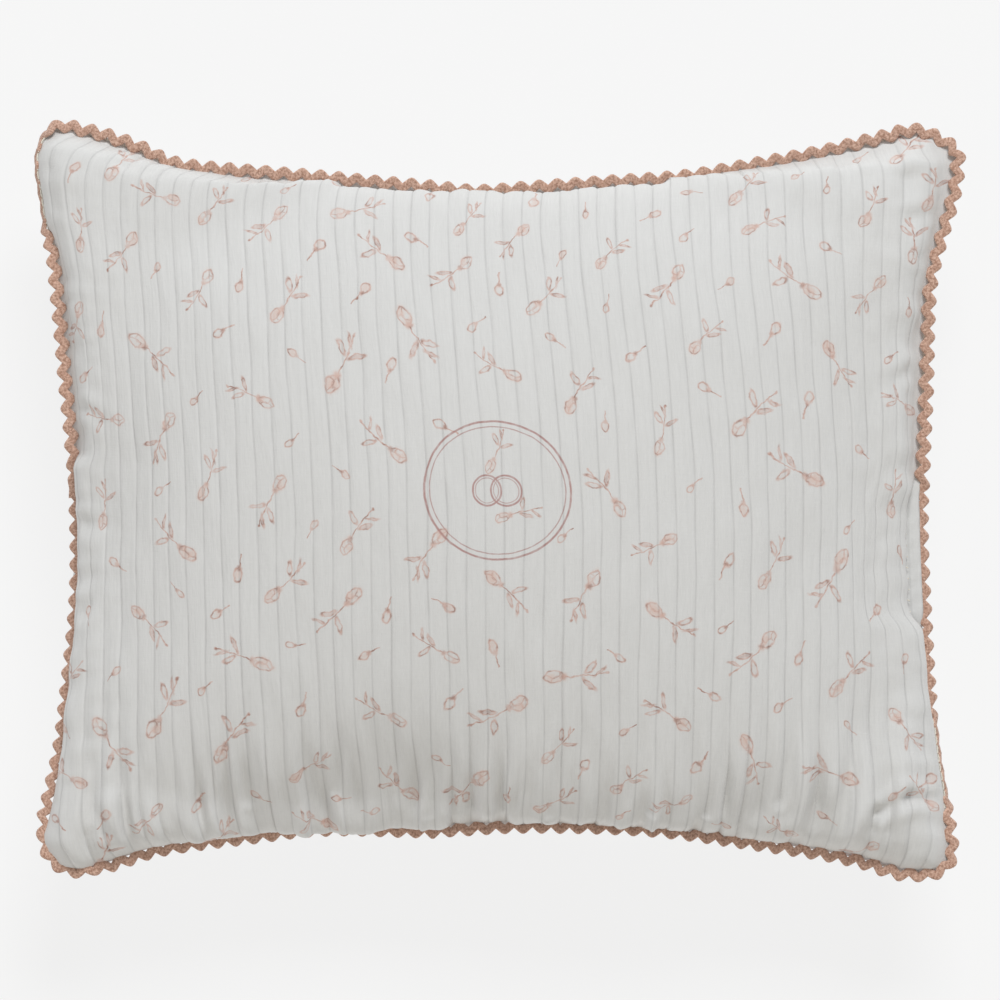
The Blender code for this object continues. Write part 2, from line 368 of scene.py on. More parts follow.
def lean(grid):
    """The tucks' lean: to the left over the upper half, and towards the middle at the top and bottom."""
    columns, rows = grid.shape[:2]
    u = np.linspace(-CUT_LENGTH / 2, CUT_LENGTH / 2, columns)
    out = np.empty_like(grid)
    for j, v in enumerate(np.linspace(-CUT_WIDTH / 2, CUT_WIDTH / 2, rows)):
        up = smooth_step(-0.1, 1, v / (90 * MM))
        ends = smooth_step(0.1, 1.1, abs(v) / (85 * MM))
        hold = 1 - (np.abs(u) / (CUT_LENGTH / 2)) ** 6
        shift = (-5.2 * MM * up - 2.6 * MM * (u / (80 * MM)) * ends) * hold
        at = np.clip((u + shift) / CUT_LENGTH + 0.5, 0, 1)
        out[:, j] = spline_weights(columns, at) @ grid[:, j]
    return out


# Creases pressed into the cloth, on the flat cut in mm: from, to, half width, and depth at each end.
CREASES = [(101, -94, 105, -84, 1.6, 0.4, 0.9), (105, -84, 113, -79.5, 1.6, 0.9, 1.2),
    (113, -79.5, 122, -80, 1.8, 1.2, 1.3), (115, 88, 116, 76, 2.4, 1.3, 0.7),
    (116, 76, 113, 64, 2.0, 0.7, 0), (-120, 86, -119, 70, 2.4, 1.0, 0.1), (-117, 22, -108, 18, 1.8, 0.9, 0),
    (-116, -9, -105, -7, 2.0, 0.9, 0), (-117, -32, -108, -23, 1.8, 0.9, 0),
    (-114, -76, -109, -92, 1.6, 0, 1.0), (-100, -66, -107, -78, 2.6, 0, 0.8),
    (118, 35, 107, 29, 2.0, 0.8, 0), (-84, 89, -102, 92, 2.2, 0, 0.7), (44, -62, 42, -86, 1.3, 0, 1.0),
    (61, -64, 58, -88, 1.3, 0, 1.0), (82, -56, 78, -82, 1.3, 0, 0.9), (-72, -60, -70, -86, 1.3, 0, 0.9),
    (96, 96, 108, 98, 1.8, 0.6, 0.1), (-42, -60, -46, -84, 1.4, 0, 0.9), (-18, -70, -20, -92, 1.2, 0, 0.8),
    (12, -66, 14, -90, 1.2, 0, 0.8)]


SWELL_AT = 4.0
CORNER_RISE = 15


def plumped(fine, sign, to_side, to_end, left, top):
    """The panel swelled at its rim: it rises steeply from the seam, fills its corners, and swells out over
    the seam except where the trim shows. Distances are flat, in mm, and the signs of left and top tell the
    side."""
    weight = [np.exp(-away / 8) * half for away, place in ((to_side, left), (to_end, top))
              for half in (place < 0, place > 0)]
    weight = [w + 0 * to_side + 0 * to_end + 1e-9 for w in weight]
    rims = [fine[:1], fine[-1:], fine[:, :1], fine[:, -1:]]

    def blend(values):
        return sum(w * value for w, value in zip(weight, values)) / sum(weight)

    roll = blend([(r[..., 2] - SEAM_Z) / MM for r in rims])
    show, hide = (blend([touched(r[..., :2] / MM, lines) for r in rims]) for lines in (SHOWN, HIDDEN))
    turn = blend([turned_down(r[..., :2] / MM) for r in rims])
    way = np.stack([weight[1] - weight[0], weight[3] - weight[2], 0 * roll], axis=-1)
    way = unit(way) * smooth_step(0, 0.02, np.linalg.norm(way, axis=-1))[..., None]
    near = np.minimum(to_side + 0 * to_end, to_end + 0 * to_side)
    reach = 2.2 - 2.6 * show + 1.9 * hide if sign > 0 else 2.1 - 1.4 * np.minimum(show, 1)
    reach = reach * (1 - turn) + 0.9 * turn
    swell = near / SWELL_AT * np.exp(1 - near / SWELL_AT)
    out = fine + way * (reach * swell * MM)[..., None]
    corner = np.sqrt(1 / (1 / (to_side + 1e-6) ** 2 + 1 / (to_end + 1e-6) ** 2))
    least = CORNER_RISE * (1 - np.exp(-corner / 8)) * MM
    rise = sign * (out[..., 2] - SEAM_Z) - sign * roll * MM
    gain = 0.5 * (least - rise + np.sqrt((least - rise) ** 2 + (1.2 * MM) ** 2)) * smooth_step(0, 3, corner)
    out[..., 2] += sign * gain
    if sign > 0:
        # The trim lies on the cloth where all of it shows, and holds it down.
        held = 0.86 * np.minimum(show, 1) * (1 - turn) * np.exp(-(near / SWELL_AT) ** 2)
        out[..., 2] -= (out[..., 2] - SEAM_Z - roll * MM) * held
    return out


def lip(y):
    """How far the closed gap on the right is open to view, at heights in mm."""
    open_here = smooth_step(-35.5, -30, y) * (1 - smooth_step(2, 9.5, y) * 0.999)
    return open_here * (0.72 + 0.28 * smooth_step(4, -6, y))


TUCK_DEPTH = 0.24
TUCK_ROUND = 0.035
LIP_OVER = 3.5 * MM
LIP_RAISE = 2.1 * MM


def crinkled(grid, sign, seed, flat_u, flat_v):
    """The fine panel: the smooth stuffed shape with its tucks, gathers and crinkles raised on it."""
    u = flat_u / CUT_LENGTH + 0.5
    v = flat_v / CUT_WIDTH + 0.5
    to_side = (CUT_LENGTH / 2 - np.abs(flat_u))[:, None] / MM
    to_end = (CUT_WIDTH / 2 - np.abs(flat_v))[None, :] / MM
    fine = plumped(read_grid(lean(grid), u, v), sign, to_side, to_end, flat_u[:, None], flat_v[None, :])
    normal = outward(fine, sign)
    to_rim = np.minimum(to_end + 0 * to_side, to_side + 0 * to_end)
    phase = (flat_u - TUCK_START) / TUCK_PITCH
    off = (phase - np.round(phase))[:, None] * TUCK_PITCH / MM
    low = smooth_step(0, 1, -(flat_v / (CUT_WIDTH / 2))[None, :])

    def noise(cells_u, cells_v, number):
        return soft_noise(u, v, cells_u, cells_v, seed + number)

    strength = 1 + 0.35 * noise(49, 10, 0) + 0.9 * low * noise(49, 7, 1)
    # The stitched line of each tuck, and the soft round of cloth between two lines.
    groove = -TUCK_DEPTH * np.exp(-(off / 0.3) ** 2) * strength
    between = TUCK_ROUND * np.cos(2 * math.pi * off / (TUCK_PITCH / MM) + math.pi) * strength
    # Gathers run in from the top and bottom seams and die away.
    reach = 0.7 * np.exp(-to_end / 12) + 0.9 * low * np.exp(-to_end / 38)
    folds = noise(62, 7, 2) + 0.8 * noise(96, 12, 3)
    gathers = (1.25 + 0.7 * low) * folds * reach * smooth_step(1, 13, to_rim)
    ridges = 0.5 * noise(150, 16, 12) + 1.1 * noise(98, 9, 13)
    gathers = gathers + ridges * (0.16 + low) * np.exp(-((to_end - 17) / 24) ** 2)
    pleats = -0.3 * reach * np.exp(-(off / 0.7) ** 2) * (1 + 0.9 * noise(49, 9, 4))
    # Short wrinkles run in from the side seams.
    sides = 0.8 * np.exp(-to_side / 10) * (noise(22, 44, 5) + 0.7 * noise(40, 84, 6))
    broad = 0.5 * noise(16, 8, 7) + 0.2 * noise(60, 18, 8)
    crepe = 0.12 * noise(110, 26, 9) * (1 + 1.6 * np.exp(-to_rim / 20))
    height = groove + between + gathers + pleats + sides + crepe + broad * (0.5 + 0.7 * np.exp(-to_rim / 30))
    for x0, y0, x1, y1, wide, deep_from, deep_to in CREASES:
        along = np.array([x1 - x0, y1 - y0], float)
        x = flat_u[:, None] / MM - x0
        y = flat_v[None, :] / MM - y0
        t = np.clip((x * along[0] + y * along[1]) / (along @ along), 0, 1)
        gap = np.hypot(x - t * along[0], y - t * along[1])
        deep = deep_from + (deep_to - deep_from) * t
        beside = 0.35 * np.exp(-((gap - 2.2 * wide) / wide) ** 2)
        height = height - deep * (np.exp(-(gap / wide) ** 2) - beside)
    hold = smooth_step(0, 5.5, to_rim)
    out = fine + normal * (height * hold * MM)[..., None]
    out[..., 0] += 0.34 * noise(40, 15, 10) * hold * MM
    if sign > 0:
        # The front's folded lip, drawn in over the gap that was closed by hand.
        uneven = 1 + 0.2 * soft_noise(u[:1], v, 1, 46, seed + 14)
        drawn_in = lip(fine[-1:, :, 1] / MM) * (flat_u[:, None] > 0) * uneven
        out[..., 0] -= LIP_OVER * drawn_in * (1 - smooth_step(6, 28, to_side))
        out[..., 2] += LIP_RAISE * drawn_in * np.exp(-(to_side / 2.5) ** 2)
    return out


flat_u, flat_v = cloth_positions()
front_fine = crinkled(front_coarse, 1, 11, flat_u, flat_v)
back_fine = crinkled(back_coarse, -1, 71, flat_u, flat_v)
# The back lies on what is under it, so its lowest part is pressed flat there.
PRESSED = 1.012
back_depth = SEAM_Z - back_fine[..., 2]
back_depth = back_depth * PRESSED * (SEAM_Z - REST_Z) / back_depth.max()
back_fine[..., 2] = np.maximum(SEAM_Z - back_depth, REST_Z)


# --- meshes
def build(name, points, faces, maps=None, smooth=True):
    """A mesh object from points and faces, with maps of (u, v) pairs, one for each face corner."""
    mesh = bpy.data.meshes.new(name)
    mesh.from_pydata(np.asarray(points, float).tolist(), [], [list(map(int, f)) for f in faces])
    if smooth:
        mesh.polygons.foreach_set("use_smooth", np.ones(len(mesh.polygons), bool))
    for key, values in (maps or {}).items():
        layer = mesh.uv_layers.new(name=key)
        layer.uv.foreach_set("vector", np.asarray(values, np.float32).ravel())
    mesh.update()
    piece = bpy.data.objects.new(name, mesh)
    scene.collection.objects.link(piece)
    return piece


def grid_faces(shape, flip):
    faces = quads(np.arange(shape[0] * shape[1]).reshape(shape[:2]))
    return faces[:, ::-1] if flip else faces


def every_pair(across, down):
    return np.stack(np.meshgrid(across, down, indexing="ij"), axis=-1).reshape(-1, 2)


def swept_faces(index, flip=False):
    """Faces of a body swept from rings of point numbers: its sides, then its two ends."""
    after = np.roll(index, -1, axis=1)
    sides = np.stack([index[:-1], index[1:], after[1:], after[:-1]], axis=-1).reshape(-1, 4)
    ends = [index[0][::-1].tolist(), index[-1].tolist()]
    if flip:
        sides, ends = sides[:, [0, 3, 2, 1]], [end[::-1] for end in ends]
    return sides.tolist() + ends


# --- the print's layout
# Each sprig as it shows from above on the stuffed front, in mm: its bud, then the end of its stem.
SPRIGS = [(-105, 88.5, -97, 94), (-88.5, 82, -100, 85), (-80, 77, -72.5, 84), (-59, 77, -67, 69.5),
    (-43, 77.7, -31.5, 79), (-99.5, 71, -105.5, 60), (-114, 68, -112, 79), (-79, 61, -84.5, 50),
    (-60.5, 50, -51.8, 59), (-28, 63, -39, 70.5), (-11.5, 74, -5, 79.5), (-9.5, 63, -18, 56.5),
    (-25, 48.5, -19.5, 37.5), (-97.5, 42, -87.5, 35.5), (-45, 31, -38, 43.5), (-113.5, 52.5, -114.5, 43),
    (-63, 26, -74, 31), (-103, 21.5, -112, 23), (-89.5, 21.5, -95, 10.5), (-28, 13.5, -39.5, 20.5),
    (-80, 2.5, -75, 12.5), (3.5, 34, -8, 39.5), (6.5, 73, -1, 67), (27.5, 64, 33.5, 71), (9, 52, 17.5, 59),
    (48, 61.5, 41, 52.5), (63.5, 82, 71, 88), (67.5, 72, 77, 77.5), (99, 75, 103, 85), (84, 57.5, 72, 65),
    (102, 58.5, 95, 50), (52, 41, 59.5, 50), (88.5, 41.5, 94, 30), (18.5, 25.5, 24.5, 37.5),
    (43.5, 14, 46, 26.5), (65, 18.5, 73, 29.5), (110.5, 24, 104, 29.5), (84, 5, 71.5, 11),
    (116, 80, 118.5, 88), (107.5, 92.5, 112, 98), (111, 66, 113, 74), (106, -2, 106, 8),
    (-107.5, -5, -106, 5), (-84, -13.5, -94, -6.5), (-60, 3.5, -67, -7), (-41, -12, -35, -1.5),
    (-17, -10, -24.5, -20), (-98, -30, -89.5, -38), (-61.5, -26, -52, -17), (-39.5, -26.5, -49, -36.5),
    (-64, -44, -76, -39), (-13.5, -42.5, -24, -36.5), (-93, -61, -86.5, -49.5), (-75, -68.5, -69, -57.5),
    (-107.5, -62, -101, -74.5), (-27.5, -59.5, -39.5, -55), (-55.5, -75, -44.5, -68.5),
    (-24, -79.5, -34, -72.5), (-6, -76, -14.5, -83), (-93, -83.5, -97, -91), (-78, -93, -71, -87),
    (-46, -87.5, -57, -85), (-113.5, -76.5, -120, -71), (-117, -50, -113, -43), (32, -2, 24.5, 9.5),
    (46, -10, 35.5, -17), (71, -20.5, 78, -9.5), (-1, -22, 9, -29), (25.5, -22, 18.5, -32.5),
    (92.5, -17.5, 86, -28.5), (42, -29, 52, -38), (72, -38, 62.5, -47.5), (15, -47, 29, -48),
    (90.5, -49.5, 98.5, -40.5), (49, -60, 39, -53), (4.5, -55, -8, -61), (12.5, -69.5, 20, -61.5),
    (66, -65.5, 70.5, -76.5), (107, -58.5, 113.5, -68), (31.5, -78.5, 39, -71), (94.5, -75, 82.5, -72),
    (50.5, -81.5, 41, -85), (11, -83, 21, -79), (78.5, -89.5, 71, -87), (101, -93, 91, -96.5),
    (117, -83, 113, -77), (-3, 9, 2, 17), (1, -6, 9, -1), (-108, -98, -104, -92)]
# Each loose bud in the same way.
BUDS = [(-114, 90, -116.5, 85.5), (-92.5, 64, -94.5, 60), (-71, 57, -69, 61.5), (-37, 56.5, -40, 53),
    (-48.5, 68.5, -52, 65.5), (-23.5, 71.5, -19.5, 68.5), (-107.5, 46, -106.5, 51), (-76, 45, -72, 48),
    (-56.5, 40, -52, 37), (-30, 35.5, -31, 30.5), (-7.5, 47.5, -4, 49.5), (-1, 57.5, -0.5, 61.5),
    (-112.5, 32.5, -110, 36), (-83, 26.5, -80.5, 30.5), (-16, 21.5, -12, 18.5), (-57, 15.5, -54.5, 18.5),
    (-42, 6, -44.5, 11), (-92.5, 2.5, -89, 4), (-58, 83.5, -55, 84.5), (-44, 85, -41, 86),
    (-68, 87, -65, 88), (-19, 82, -15, 81), (23, 77, 24, 80), (41.5, 77.5, 37.5, 75.5), (17, 67, 15, 64.5),
    (49, 71, 51.5, 73.5), (9, 80, 12, 81), (88, 83, 89, 86.5), (79, 87, 82, 88), (96.5, 92, 99, 94.5),
    (87.5, 69, 91.5, 66.5), (61.5, 60, 59, 56), (28.5, 50.5, 29.5, 54), (13.5, 43.5, 18, 41),
    (35.5, 38, 39.5, 40.5), (74, 45.5, 71.5, 41.5), (55, 31, 59, 28), (29, 19.5, 28, 24),
    (83, 27, 81.5, 22), (104.5, 38.5, 107.5, 41), (96.5, 13.5, 99.5, 10), (51.5, 3, 54.5, 7),
    (110, 51, 110, 54), (50, 82, 53, 82.5), (-104.5, -17, -101, -20.5), (-86, -26, -89, -23.5),
    (-71, -19, -69.5, -14.5), (-50, -7, -52.5, -10.5), (-111, -31, -111.5, -34), (-77, -31, -73, -28.5),
    (-56, -38, -52.5, -40), (-30.5, -31.5, -29.5, -27), (-14, -29, -18, -26.5), (-37.5, -42.5, -33, -40),
    (-104, -45.5, -106, -49), (-80.5, -52, -78, -48), (-54, -56, -51.5, -52), (-13.5, -54, -10.5, -50.5),
    (-17.5, -69, -14, -71.5), (-82, -82, -80, -78), (-66, -80, -62, -81.5), (-44.5, -79.5, -40, -81),
    (-34, -84.5, -37, -84), (-107, -86, -109, -89), (-118, -61, -116, -64.5), (16, -10.5, 19, -7),
    (66.5, -1.5, 65, 2), (93, -8, 96, -4), (61.5, -16.5, 58.5, -21), (107.5, -14.5, 108.5, -17.5),
    (101.5, -28.5, 99.5, -33), (60, -35.5, 62.5, -32), (33, -41.5, 30, -39), (81, -43, 82, -38.5),
    (109.5, -43.5, 108.5, -46.5), (-1, -41, 0, -46), (58, -52, 53.5, -50.5), (75, -57, 79.5, -54.5),
    (93.5, -60, 96, -62.5), (33.5, -62.5, 36.5, -60.5), (54, -71.5, 57, -68.5), (23.5, -71.5, 21, -74.5),
    (1.5, -81, 3.5, -78), (87.5, -85.5, 91, -87.5), (61, -87.5, 58, -87), (32, -86, 33.5, -84),
    (116, -76, 113, -77), (106, -80, 108, -79), (-22, -88, -17, -89), (-120, -86, -118, -89)]
SPRIG_LENGTH = 13.0
BUD_LENGTH = 5.0
# The maps run from 0 to 1 over this many mm.
MOTIF_SPAN = 40.0
CLOTH_SPAN = 250.0


def on_cloth(points_mm, grid):
    """The flat place, in mm, of each point seen from above on the stuffed front."""
    height = camera.location.z
    far = grid[::2, ::2]
    # The camera sees a raised point a little further out than it lies.
    seen = far[..., :2] * (height - SEAM_Z) / (height - far[..., 2:])
    u = flat_u[::2] / MM
    v = flat_v[::2] / MM
    out = []
    for x, y in points_mm:
        away = (seen[..., 0] / MM - x) ** 2 + (seen[..., 1] / MM - y) ** 2
        i, j = np.unravel_index(np.argmin(away), seen.shape[:2])
        out.append((u[i], v[j]))
    return np.array(out)


def motifs(grid):
    """The print's motifs in flat mm: bud, direction of the stem, scale, kind (0 and 1 sprig, 2 loose bud) and
    side, which mirrors every other one."""
    found = []
    for kind, table, nominal in ((0, SPRIGS, SPRIG_LENGTH), (2, BUDS, BUD_LENGTH)):
        places = np.array(table, float)
        start = on_cloth(places[:, :2], grid)
        end = on_cloth(places[:, 2:], grid)
        for n, (bud, tail) in enumerate(zip(start, end)):
            run = tail - bud
            length = float(np.hypot(*run))
            if length < 0.5:
                continue
            scale = np.clip(length / nominal, 0.8, 1.15)
            found.append((bud, run / length, scale, kind or n % 2, 1 if n % 2 else -1))
    return found


def motif_maps(found, faces, points_flat):
    """For each face corner, the nearest motif's own coordinates and its kind, blank away from every motif."""
    corner = points_flat[faces]
    middle = corner.mean(axis=1)
    best = np.full(len(faces), 7.0)
    which = np.full(len(faces), -1)
    for n, (bud, along, scale, kind, side) in enumerate(found):
        length = (SPRIG_LENGTH if kind < 2 else BUD_LENGTH) * scale
        away = middle - bud
        t = np.clip(away @ along, 0, length)
        gap = np.hypot(away[:, 0] - t * along[0], away[:, 1] - t * along[1])
        near = gap < best
        best[near] = gap[near]
        which[near] = n
    local = np.full(corner.shape, 0.98 * MOTIF_SPAN / 2)
    kinds = np.zeros(corner.shape)
    for n, (bud, along, scale, kind, side) in enumerate(found):
        mine = which == n
        if not mine.any():
            continue
        away = (corner[mine] - bud) / scale
        local[mine] = np.stack([side * (away @ np.array([along[1], -along[0]])), away @ along], axis=-1)
        kinds[mine, :, 0] = (kind + 0.5) / 4
    return local / MOTIF_SPAN + 0.5, kinds


# --- panels
# The back's turned-in edge at the closed gap: how far out from the seam, and how high, in mm.
TURNED_IN = [(0.8, 0.3), (1.1, 0.75), (0.5, 1.15), (-1.0, 1.5), (-2.4, 1.9), (-4.0, 2.3), (-6.0, 2.6)]


def turned_in(fine):
    """The band of the back that folds up inside the trim and goes in under the front's lip: its points, its
    faces, welded to the back's right edge, and its flat places in mm."""
    columns, rows = fine.shape[:2]
    here = np.flatnonzero(lip(fine[-1, :, 1] / MM) > 0.01)
    edge = fine[-1, here]
    share = lip(edge[:, 1] / MM)
    ahead = unit(np.gradient(edge[:, :2], axis=0))
    away = np.stack([ahead[:, 1], -ahead[:, 0], 0 * share], axis=1)
    seam_index = (columns - 1) * rows + here
    points, flat = [], []
    for n, (out, high) in enumerate(TURNED_IN):
        ripple = 1 + 0.12 * np.sin(edge[:, 1] / MM * 1.3 + n)
        row = edge + away * (out * share * MM)[:, None]
        row[:, 2] += high * share * ripple * MM
        points.append(row)
        flat.append(np.stack([CUT_LENGTH / 2 / MM + 1.0 * (n + 1) + 0 * share, flat_v[here] / MM], axis=1))
    band = np.arange(len(TURNED_IN) * len(here)).reshape(len(TURNED_IN), -1)
    index = np.vstack([seam_index, columns * rows + band])
    return np.concatenate(points), quads(index), np.concatenate(flat)


def panel(name, fine, front, found):
    faces = grid_faces(fine.shape, flip=not front)
    points = fine.reshape(-1, 3)
    flat = every_pair(flat_u / MM, flat_v / MM)
    if not front:
        parts = zip((points, faces, flat), turned_in(fine))
        points, faces, flat = (np.concatenate(pair) for pair in parts)
    local, kinds = motif_maps(found, faces, flat)
    return build(name, points, faces, {"flat": flat[faces] / CLOTH_SPAN + 0.5, "motif": local, "kind": kinds})


BACK_SHIFT = np.array([3.0, -6.0])
MIRROR = np.array([-1, 1])
found = motifs(front_fine)
front_panel = panel("cover_front", front_fine, True, found)
back_found = [(bud * MIRROR + BACK_SHIFT, along * MIRROR, scale, kind, -side)
              for bud, along, scale, kind, side in found]
back_panel = panel("cover_back", back_fine, False, back_found)


# --- the seam as one closed line
def rim_of(grid):
    """The rim of a grid, clockwise from above from its top left corner."""
    return np.concatenate([grid[:-1, -1], grid[-1, :0:-1], grid[:0:-1, 0], grid[0, :-1]])


even = np.linspace(0, 1, 400)
smooth_front = read_grid(front_coarse, even, even)
rim = rim_of(smooth_front)


def wrap_smooth(values, reach):
    """A closed run of values averaged over its neighbours."""
    kernel = np.hanning(2 * reach + 3)[1:-1]
    kernel /= kernel.sum()
    padded = np.concatenate([values[-reach:], values, values[:reach]])
    return np.stack([np.convolve(padded[:, k], kernel, mode="valid") for k in range(values.shape[1])], axis=1)


step = np.linalg.norm(np.roll(rim, -1, axis=0) - rim, axis=1)
seam_run = np.concatenate([[0], np.cumsum(step)])
SEAM_LENGTH = seam_run[-1]


def along_seam(values, at):
    """Values held at the rim's points, read at distances along the seam."""
    closed = np.concatenate([values, values[:1]])
    spot = np.mod(at, SEAM_LENGTH)
    return np.stack([np.interp(spot, seam_run, closed[:, k]) for k in range(values.shape[1])], axis=1)


rim_smooth = wrap_smooth(rim, 5)
ahead = unit(np.roll(rim_smooth, -1, axis=0) - np.roll(rim_smooth, 1, axis=0))
level = wrap_smooth(np.stack([-ahead[:, 1], ahead[:, 0], 0 * ahead[:, 0]], axis=1), 12)
# The trim stands straight out where the seam is level, and tips with it where it has rolled, in degrees.
TURNED_TILT = 76
turn = turned_down(rim_smooth[:, :2] / MM)
tipped = np.clip((rim_smooth[:, 2] - SEAM_Z) / MM * 6, -18, 28)
tilt = (tipped * (1 - turn) - TURNED_TILT * turn) * math.pi / 180
out_way = unit(level) * np.cos(tilt)[:, None] + np.array([0, 0, 1.0]) * np.sin(tilt)[:, None]
out_way = unit(out_way - ahead * (out_way * ahead).sum(axis=1, keepdims=True))
up_way = unit(np.cross(out_way, ahead))
up_way *= np.sign(up_way[:, 2:].mean())


def seam_at(at):
    """The seam's points at distances along it, with the ways out and up there."""
    return [along_seam(values, at) for values in (rim_smooth, out_way, up_way)]


def seam_place(side, y):
    """How far along the seam the height y comes, on the left (-1) or the right (1)."""
    there = np.flatnonzero(rim_smooth[:, 0] * side > 0.1)
    return seam_run[there[np.argmin(np.abs(rim_smooth[there, 1] - y))]]


# --- ric-rac
WAVES = 183
WAVE_STEPS = 12
BRAID_HALF = 1.3
BRAID_SWING = 0.86
BRAID_THICK = 0.95
BRAID_SPAN = (1000.0, 10.0)
# The braid's section: across from -1 (inner edge) to 1, and its height as a share of half the thickness.
SECTION = [(-1, 0), (-0.86, 0.72), (-0.45, 1), (0, 1.04), (0.45, 1), (0.86, 0.72), (1, 0), (0.86, -0.72),
    (0.45, -1), (0, -1.04), (-0.45, -1), (-0.86, -0.72)]
JOIN_Y = 4 * MM
HALF_LAP = 3.2 * MM


def braid():
    """The ric-rac: one strip along the whole seam, with its ends lapped."""
    count = WAVES * WAVE_STEPS
    share = np.arange(count + 1) / count
    at = seam_place(-1, JOIN_Y) - HALF_LAP + (SEAM_LENGTH + 2 * HALF_LAP) * share
    line, out, up = seam_at(at)
    out, up = unit(out), unit(up)
    phase = 2 * math.pi * np.arange(count + 1) / WAVE_STEPS
    wobble = 1 + 0.05 * np.sin(at / MM * 0.21) + 0.04 * np.sin(at / MM * 0.083 + 1)
    to_end = np.minimum(at - at[0], at[-1] - at) / MM
    calm = smooth_step(2, 10, to_end)
    swing = BRAID_SWING * wobble * (0.12 + 0.88 * calm)
    # Each edge has round crests and sharper notches.
    outer = BRAID_HALF + swing * (0.6 * (2 * np.abs(np.cos(phase / 2)) ** 0.8 - 1) + 0.4 * np.cos(phase))
    inner = -BRAID_HALF - swing * (0.6 * (2 * np.abs(np.sin(phase / 2)) ** 0.8 - 1) - 0.4 * np.cos(phase))
    places = line[:, :2] / MM
    turn = turned_down(places)
    first, last = (1 - smooth_step(3, 9, away / MM) for away in (at - at[0], at[-1] - at))
    centre = trim_reach(places) / MM * (1 - turn) + 3.8 * turn - 2.3 + 0.5 * first
    centre = centre - 0.5 * touched(places, CORNERS, 8) - 3.2 * turn * (1 - turn)
    lift = 1.9 * np.minimum(touched(places, SHOWN), 1) * (1 - turn) + 0.5 * BRAID_THICK * (first - last)
    rings = []
    for across, high in SECTION:
        reach = centre + (outer + inner) / 2 + across * (outer - inner) / 2
        ripple = 1 + 0.07 * np.sin(phase * 3 + across * 2.5)
        height = lift + high * BRAID_THICK / 2 * ripple
        rings.append(line + out * (reach * MM)[:, None] + up * (height * MM)[:, None])
    points = np.stack(rings, axis=1)
    size = len(SECTION)
    faces = swept_faces(np.arange(points.shape[0] * size).reshape(-1, size))
    run = np.repeat((at - at[0])[:, None] / MM, size, axis=1)
    wide = np.tile(np.array([a for a, _ in SECTION]) * BRAID_HALF, (points.shape[0], 1))
    flat = np.stack([run, wide + (outer + inner)[:, None] / 2], axis=-1).reshape(-1, 2)
    corners = np.concatenate([flat[f] for f in faces])
    maps = {"flat": corners / np.array(BRAID_SPAN) + np.array([0, 0.5])}
    return build("ricrac_braid", points.reshape(-1, 3), faces, maps)


ricrac = braid()


# --- threads
def tube(name, lines, radius, sides=6):
    """Round threads along open lines, with closed ends, in one mesh."""
    points, faces, base = [], [], 0
    turn = np.arange(sides) * 2 * math.pi / sides
    for line in lines:
        way = unit(np.gradient(line, axis=0))
        side = unit(np.cross(way, [0, 0, 1]) + 1e-9)
        top = np.cross(side, way)
        spokes = np.cos(turn)[None, :, None] * side[:, None] + np.sin(turn)[None, :, None] * top[:, None]
        ring = line[:, None] + radius * spokes
        faces += swept_faces(base + np.arange(len(line) * sides).reshape(-1, sides), flip=True)
        points.append(ring.reshape(-1, 3))
        base += ring.shape[0] * sides
    return build(name, np.concatenate(points), faces)


def stitches(pitch, depth, rise):
    """Lock stitches along the seam: each dips at its ends."""
    count = int(round(SEAM_LENGTH / pitch))
    lines = []
    for n in range(count):
        line, out, up = seam_at((n + np.linspace(0.06, 0.94, 6)) * SEAM_LENGTH / count)
        dip = np.sin(np.linspace(0, math.pi, 6)) ** 0.5
        lines.append(line - out * depth + up * (rise * dip)[:, None])
    return lines


seam_thread = tube("seam_stitches", stitches(2.5 * MM, 0.5 * MM, 0.15 * MM), 0.22 * MM)

GAP_TOP_Y = 7.6 * MM
GAP_BOTTOM_Y = -34 * MM
LADDER_PITCH = 3 * MM


def ladder():
    """Short stitches across the closed gap."""
    lines = []
    reach = np.linspace(-4.6, -3.0, 5) * MM
    high = (2.5 + 0.12 * np.sin(np.linspace(0, math.pi, 5))) * MM
    first = seam_place(1, GAP_TOP_Y) + LADDER_PITCH / 2
    for at in np.arange(first, seam_place(1, GAP_BOTTOM_Y), LADDER_PITCH):
        line, out, up = seam_at(at + np.linspace(-0.25, 0.25, 5) * MM)
        lines.append(line + out * reach[:, None] + up * high[:, None])
    return lines


closing_thread = tube("closing_stitches", ladder(), 0.2 * MM)


# --- the inner cushion
def shell(grid, share, columns=110, rows=90):
    """The cover's smooth shape drawn in towards its middle."""
    fine = read_grid(grid, np.linspace(0, 1, columns), np.linspace(0, 1, rows))
    centre = np.array([0, 0, SEAM_Z])
    return (fine - centre) * share + centre


CASE_SHARE = 0.95
FILL_SHARE = 0.925
case_front_grid = shell(front_coarse, CASE_SHARE)
case_back_grid = shell(back_coarse, CASE_SHARE)


def sheet_piece(name, grid, flip):
    """One side of the inner case."""
    flat = every_pair(np.linspace(0, 1, grid.shape[0]), np.linspace(0, 1, grid.shape[1]))
    faces = grid_faces(grid.shape, flip)
    return build(name, grid.reshape(-1, 3), faces, {"flat": flat[faces]})


case_front = sheet_piece("case_front", case_front_grid, False)
case_back = sheet_piece("case_back", case_back_grid, True)
case_rim = rim_of(case_front_grid)
case_line = np.concatenate([case_rim, case_rim[:1]]) + [0, 0, -0.1 * MM]
case_thread = tube("case_seam_stitches", [case_line], 0.2 * MM)


